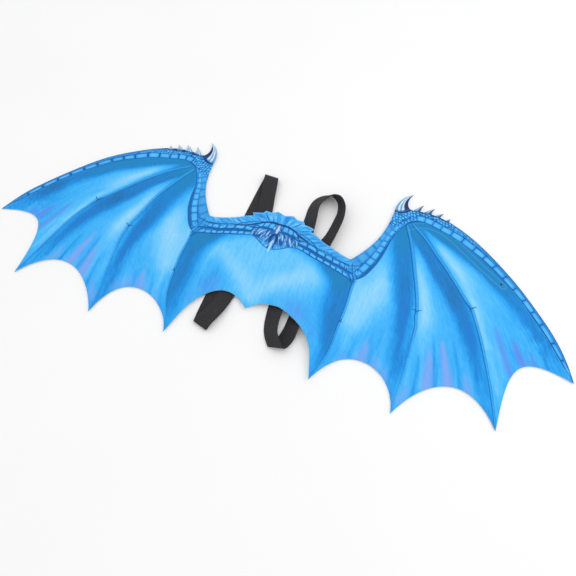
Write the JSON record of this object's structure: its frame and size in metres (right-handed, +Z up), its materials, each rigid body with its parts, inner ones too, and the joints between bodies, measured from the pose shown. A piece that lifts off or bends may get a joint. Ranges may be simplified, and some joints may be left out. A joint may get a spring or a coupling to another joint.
{
  "type": "costume wings",
  "caption": "Flat felt dragon wings for dressing up: scalloped die-cut panel with claws and a tufted crest, stays behind the leading edges, elastic arm loops behind the middle.",
  "frame": {"origin": "on the table under the middle of the outline's box", "axes": "+X along the span to the wearer's right as the print is seen, +Y towards the head, +Z up out of the printed face"},
  "size_m": [0.9188, 0.375, 0.0243],
  "materials": {
    "printed_felt": "matt printed felt",
    "elastic": "matt woven elastic",
    "stay_plastic": "matt"
  },
  "bodies": {
    "root": {"wing_panel": "printed_felt", "strap_left": "elastic", "strap_right": "elastic", "stay_left": "stay_plastic", "stay_right": "stay_plastic"}
  },
  "joints": []
}
